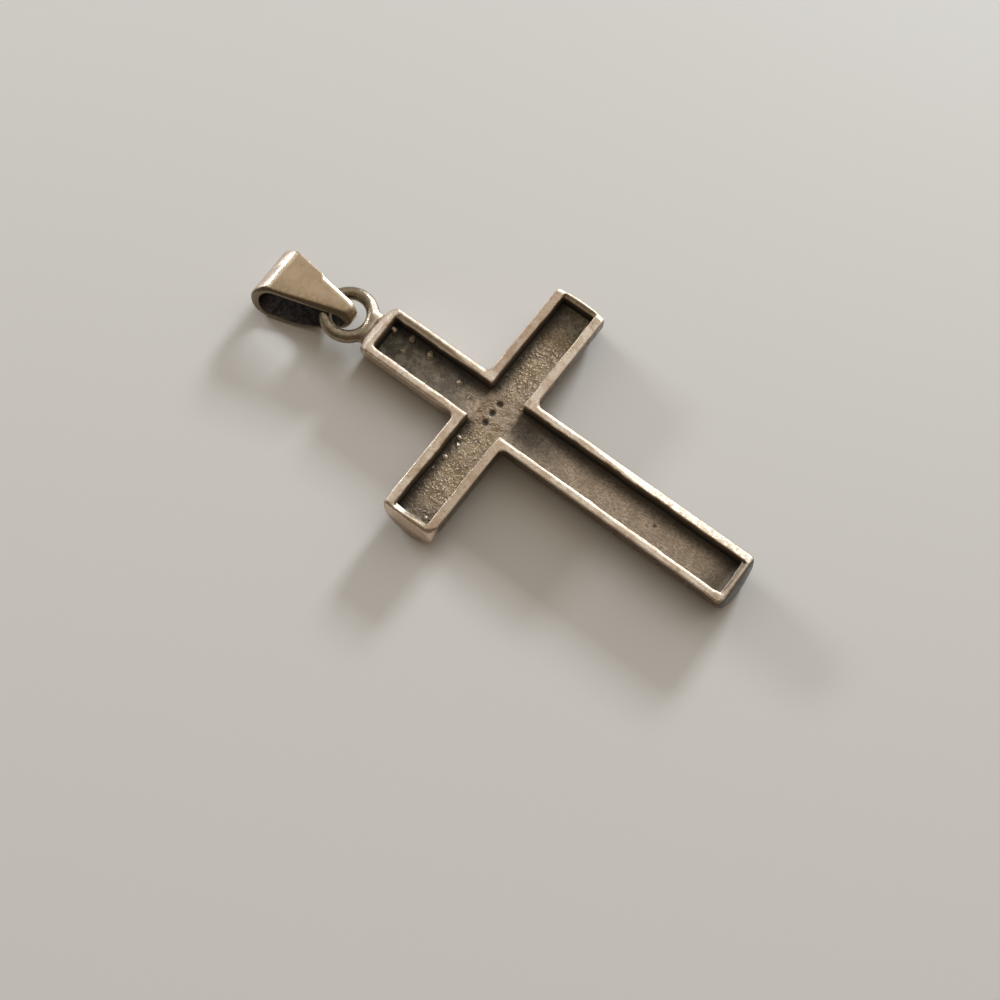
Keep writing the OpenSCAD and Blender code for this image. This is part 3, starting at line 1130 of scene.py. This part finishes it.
def hollow_colour(paint, bottom):
    """The walls and floor together, with the nodules, the shade painted round them, and the punched places"""
    wall = paint.mix(paint.mark("deep"), WALL, OXIDE_AND_SHADE)
    inside = paint.mix(paint.fade(paint.mark("floor"), 0.1, 0.8), wall, bottom)
    # painted shade round the nodules' feet
    inside = paint.cover(inside, "painted_nodule_shade", 0.6, OXIDE_AND_SHADE)
    inside = paint.mix(paint.mark("bead"), inside, BEAD)
    return paint.cover(inside, "punch", 0.85, OXIDE_AND_SHADE)


def cast_gloss(paint, mottle, fine):
    """Metal outside and dull patina inside, with matt places where the rims are filed or worn"""
    cavity = paint.mark("cavity")
    bead = paint.mark("bead")
    dull = paint.fade(cavity, 0, 1, 1.0, 0.15)
    paint.set("Metallic", paint.blend(bead, dull, 0.8))
    paint.set("Specular IOR Level", 0.35)
    rough = paint.fade(fine, 0.3, 0.7, 0.24, 0.40)
    rough = paint.blend(paint.fade(paint.mark("edge"), 0.4, 1.0), rough, 0.5)
    matt = paint.larger(paint.mark("bevel"), paint.larger(paint.mark("away"), paint.mark("filed")))
    rough = paint.blend(matt, rough, paint.fade(mottle, 0.4, 0.6, 0.54, 0.64))
    rough = paint.blend(cavity, rough, 0.55)
    paint.set("Roughness", paint.blend(bead, rough, 0.36))


def cast_silver():
    """The cross: worn silver outside, with a darkened hollow"""
    paint = Paint("cast_silver")
    mottle = paint.noise(0.3, 5, 0.75)
    fine = paint.noise(0.28, 3)
    speck = paint.noise(0.11, 2)
    metal = worn_polish(paint, mottle)
    metal = tarnished_sides(paint, metal, fine)
    metal = filed_and_worn(paint, metal, mottle)
    metal = ring_and_dirt(paint, metal, mottle, fine, speck)
    bottom, height = floor_grain(paint)
    inside = hollow_colour(paint, darkened_floor(paint, bottom))
    paint.set("Base Color", paint.mix(paint.mark("cavity"), metal, inside))
    cast_gloss(paint, mottle, fine)
    scratch = paint.noise(0.5, 3, 0.6, stretch=(1.0, 9.0, 1.0))
    under = paint.bump(speck, 0.02, paint.bump(scratch, 0.009))
    paint.set("Normal", paint.bump(paint.product(height, paint.mark("floor")), 0.07, under))
    return paint.material


def bail_silver():
    """The bail: golden polish, browner along its near edge, painted greyer shade on the bend, a painted
    highlight along its far edge, and dark inside
    """
    paint = Paint("bail_silver")
    fine = paint.noise(0.25, 3)
    mottle = paint.noise(0.3, 5, 0.75)
    metal = paint.mix(paint.fade(paint.noise(1.2, 3), 0.35, 0.7), GOLDEN, GOLDEN_DARK)
    # painted greyer shade on the bend
    metal = paint.cover(metal, "bend", paint.fade(mottle, 0.4, 0.6, 0.4, 0.9), BEND_SHADE_GREY)
    metal = paint.cover(metal, "near", paint.fade(fine, 0.35, 0.65, 0.2, 0.8), NEAR_BROWN)
    metal = paint.mix(paint.fade(mottle, 0.6, 0.72, 0, 0.5), metal, NEAR_BROWN)
    metal = paint.mix(paint.product(paint.fade(paint.mark("edge"), 0.7, 1.6), 0.5), metal, BRIGHT_WEAR_AND_HIGHLIGHT)
    metal = paint.cover(metal, "cut", 0.95, CUT_BROWN)
    # painted highlight along the far edge's flat strip
    metal = paint.mix(paint.mark("painted_highlight_strip"), metal, BRIGHT_WEAR_AND_HIGHLIGHT)
    # darker inside the loop
    dark_inside = paint.mix(paint.fade(fine, 0.3, 0.7), INSIDE_DARK, INSIDE_LIGHT)
    paint.set("Base Color", paint.mix(paint.mark("inside"), metal, dark_inside))
    paint.set("Metallic", 1.0)
    rough = paint.fade(fine, 0.3, 0.7, 0.18, 0.30)
    rough = paint.blend(paint.mark("bend"), rough, paint.fade(mottle, 0.4, 0.6, 0.28, 0.5))
    rough = paint.blend(paint.mark("painted_highlight_strip"), rough, 0.48)
    paint.set("Roughness", paint.blend(paint.mark("inside"), rough, 0.5))
    scratch = paint.noise(0.4, 3, 0.6, stretch=(6.0, 1.0, 6.0))
    dents = paint.product(paint.noise(0.9, 1), paint.mark("bend"))
    paint.set("Normal", paint.bump(dents, 0.11, paint.bump(scratch, 0.01)))
    return paint.material


FLOOR_COLOUR = (0.80, 0.785, 0.76, 1)
FLOOR_HALF = 1500


def floor_paint():
    """The plain pale floor"""
    paint = Paint("pale_floor")
    paint.set("Base Color", FLOOR_COLOUR)
    paint.set("Roughness", 0.6)
    paint.set("Specular IOR Level", 0.2)
    return paint.material


def make_floor():
    half = FLOOR_HALF * MM
    corners = [(-half, -half, 0), (half, -half, 0), (half, half, 0), (-half, half, 0)]
    mesh = bpy.data.meshes.new("floor")
    mesh.from_pydata(corners, [], [(0, 1, 2, 3)])
    floor = bpy.data.objects.new("floor", mesh)
    bpy.context.scene.collection.objects.link(floor)
    floor.data.materials.append(floor_paint())


def direction(azimuth, elevation):
    """A direction from degrees. Azimuth is turned from +X towards +Y."""
    a, e = math.radians(azimuth), math.radians(elevation)
    return Vector((math.cos(a) * math.cos(e), math.sin(a) * math.cos(e), math.sin(e)))


def window(name, azimuth, elevation, distance, width, height, radiance, colour):
    """A soft light that shines on the crossing from a distance in millimetres"""
    away = direction(azimuth, elevation)
    light = bpy.data.lights.new(name, "AREA")
    light.shape = "RECTANGLE"
    light.size, light.size_y = width * MM, height * MM
    light.color = colour
    light.energy = radiance * math.pi * light.size * light.size_y
    lamp = bpy.data.objects.new(name, light)
    bpy.context.scene.collection.objects.link(lamp)
    lamp.location = Vector((0, CROSSING_Y * MM, 0)) + away * distance * MM
    lamp.rotation_euler = away.to_track_quat("Z", "Y").to_euler()


def glow(tree, azimuth, elevation, reach):
    """1 towards a direction of the room, fading to 0 at an angle of reach from it"""
    place = tree.nodes.new("ShaderNodeTexCoord")
    along = tree.nodes.new("ShaderNodeVectorMath")
    along.operation = "DOT_PRODUCT"
    along.inputs[1].default_value = direction(azimuth, elevation)
    tree.links.new(place.outputs["Generated"], along.inputs[0])
    fade = tree.nodes.new("ShaderNodeMapRange")
    fade.interpolation_type = "SMOOTHSTEP"
    fade.inputs["From Min"].default_value = math.cos(math.radians(reach))
    fade.inputs["From Max"].default_value = 1
    tree.links.new(along.outputs["Value"], fade.inputs["Value"])
    return fade.outputs["Result"]


# Colours of the room and of the light from its windows
ROOM = (0.165, 0.132, 0.094, 1)
CEILING = (0.565, 0.495, 0.405, 1)
DAYLIGHT = (0.88, 0.945, 1.0)
RIGHT_WALL = (0.96, 0.92, 0.86, 1)
FAR_WALL = (0.80, 0.76, 0.71, 1)

# Bright parts of the room: azimuth, elevation, reach and colour
GLOWS = (37, 73, 42, CEILING), (-6, 33, 50, RIGHT_WALL), (80, 33, 30, FAR_WALL)


def make_room():
    """A warm dim room, brighter overhead and towards its two windows"""
    world = bpy.data.worlds.new("room")
    bpy.context.scene.world = world
    world.use_nodes = True
    tree = world.node_tree
    colour = None
    for azimuth, elevation, reach, bright in GLOWS:
        mix = tree.nodes.new("ShaderNodeMix")
        mix.data_type = "RGBA"
        tree.links.new(glow(tree, azimuth, elevation, reach), mix.inputs["Factor"])
        if colour:
            tree.links.new(colour, mix.inputs[MIX_FROM])
        else:
            mix.inputs[MIX_FROM].default_value = ROOM
        mix.inputs[MIX_TO].default_value = bright
        colour = mix.outputs[MIX_RESULT]
    tree.links.new(colour, tree.nodes["Background"].inputs["Color"])


def make_lights():
    window("window_right", 6, 18.5, distance=350, width=70, height=49, radiance=84, colour=DAYLIGHT)
    window("window_top", 80, 15.8, distance=500, width=170, height=38, radiance=47, colour=DAYLIGHT)
    make_room()
    bpy.context.scene.view_settings.view_transform = "Standard"


# The camera, solved from the straight edges of the photo, measured from the crossing's rim plane
CAMERA_AT = (-27.366, -21.205, 89.552)
CAMERA_HEADING = math.radians(52.685)
CAMERA_DOWN = math.radians(72.594)
CAMERA_ROLL = math.radians(-0.21)
CAMERA_LENS = 50.4
CAMERA_SENSOR = 36
CAMERA_NEAR = 1
CAMERA_FAR = 10000


def make_camera():
    camera = bpy.data.objects.new("camera", bpy.data.cameras.new("camera"))
    bpy.context.scene.collection.objects.link(camera)
    ahead = Vector((
        math.sin(CAMERA_HEADING) * math.cos(CAMERA_DOWN),
        math.cos(CAMERA_HEADING) * math.cos(CAMERA_DOWN),
        -math.sin(CAMERA_DOWN),
    ))
    level = ahead.cross(Vector((0, 0, 1))).normalized()
    above = level.cross(ahead)
    right = level * math.cos(CAMERA_ROLL) + above * math.sin(CAMERA_ROLL)
    up = above * math.cos(CAMERA_ROLL) - level * math.sin(CAMERA_ROLL)
    place = (Vector(CAMERA_AT) + Vector((0, CROSSING_Y, BODY_H))) * MM
    turn = Matrix((right, up, -ahead)).transposed().to_4x4()
    camera.matrix_world = Matrix.Translation(place) @ turn
    camera.data.lens = CAMERA_LENS
    camera.data.sensor_width = CAMERA_SENSOR
    camera.data.clip_start = CAMERA_NEAR * MM
    camera.data.clip_end = CAMERA_FAR * MM
    bpy.context.scene.camera = camera


make_camera()
make_lights()
make_floor()

cross = make_cross()
cross.data.materials.append(cast_silver())
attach(cross, "root")
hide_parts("cross")

bail = make_bail()
bail.data.materials.append(bail_silver())
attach(bail, "root")
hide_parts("bail")
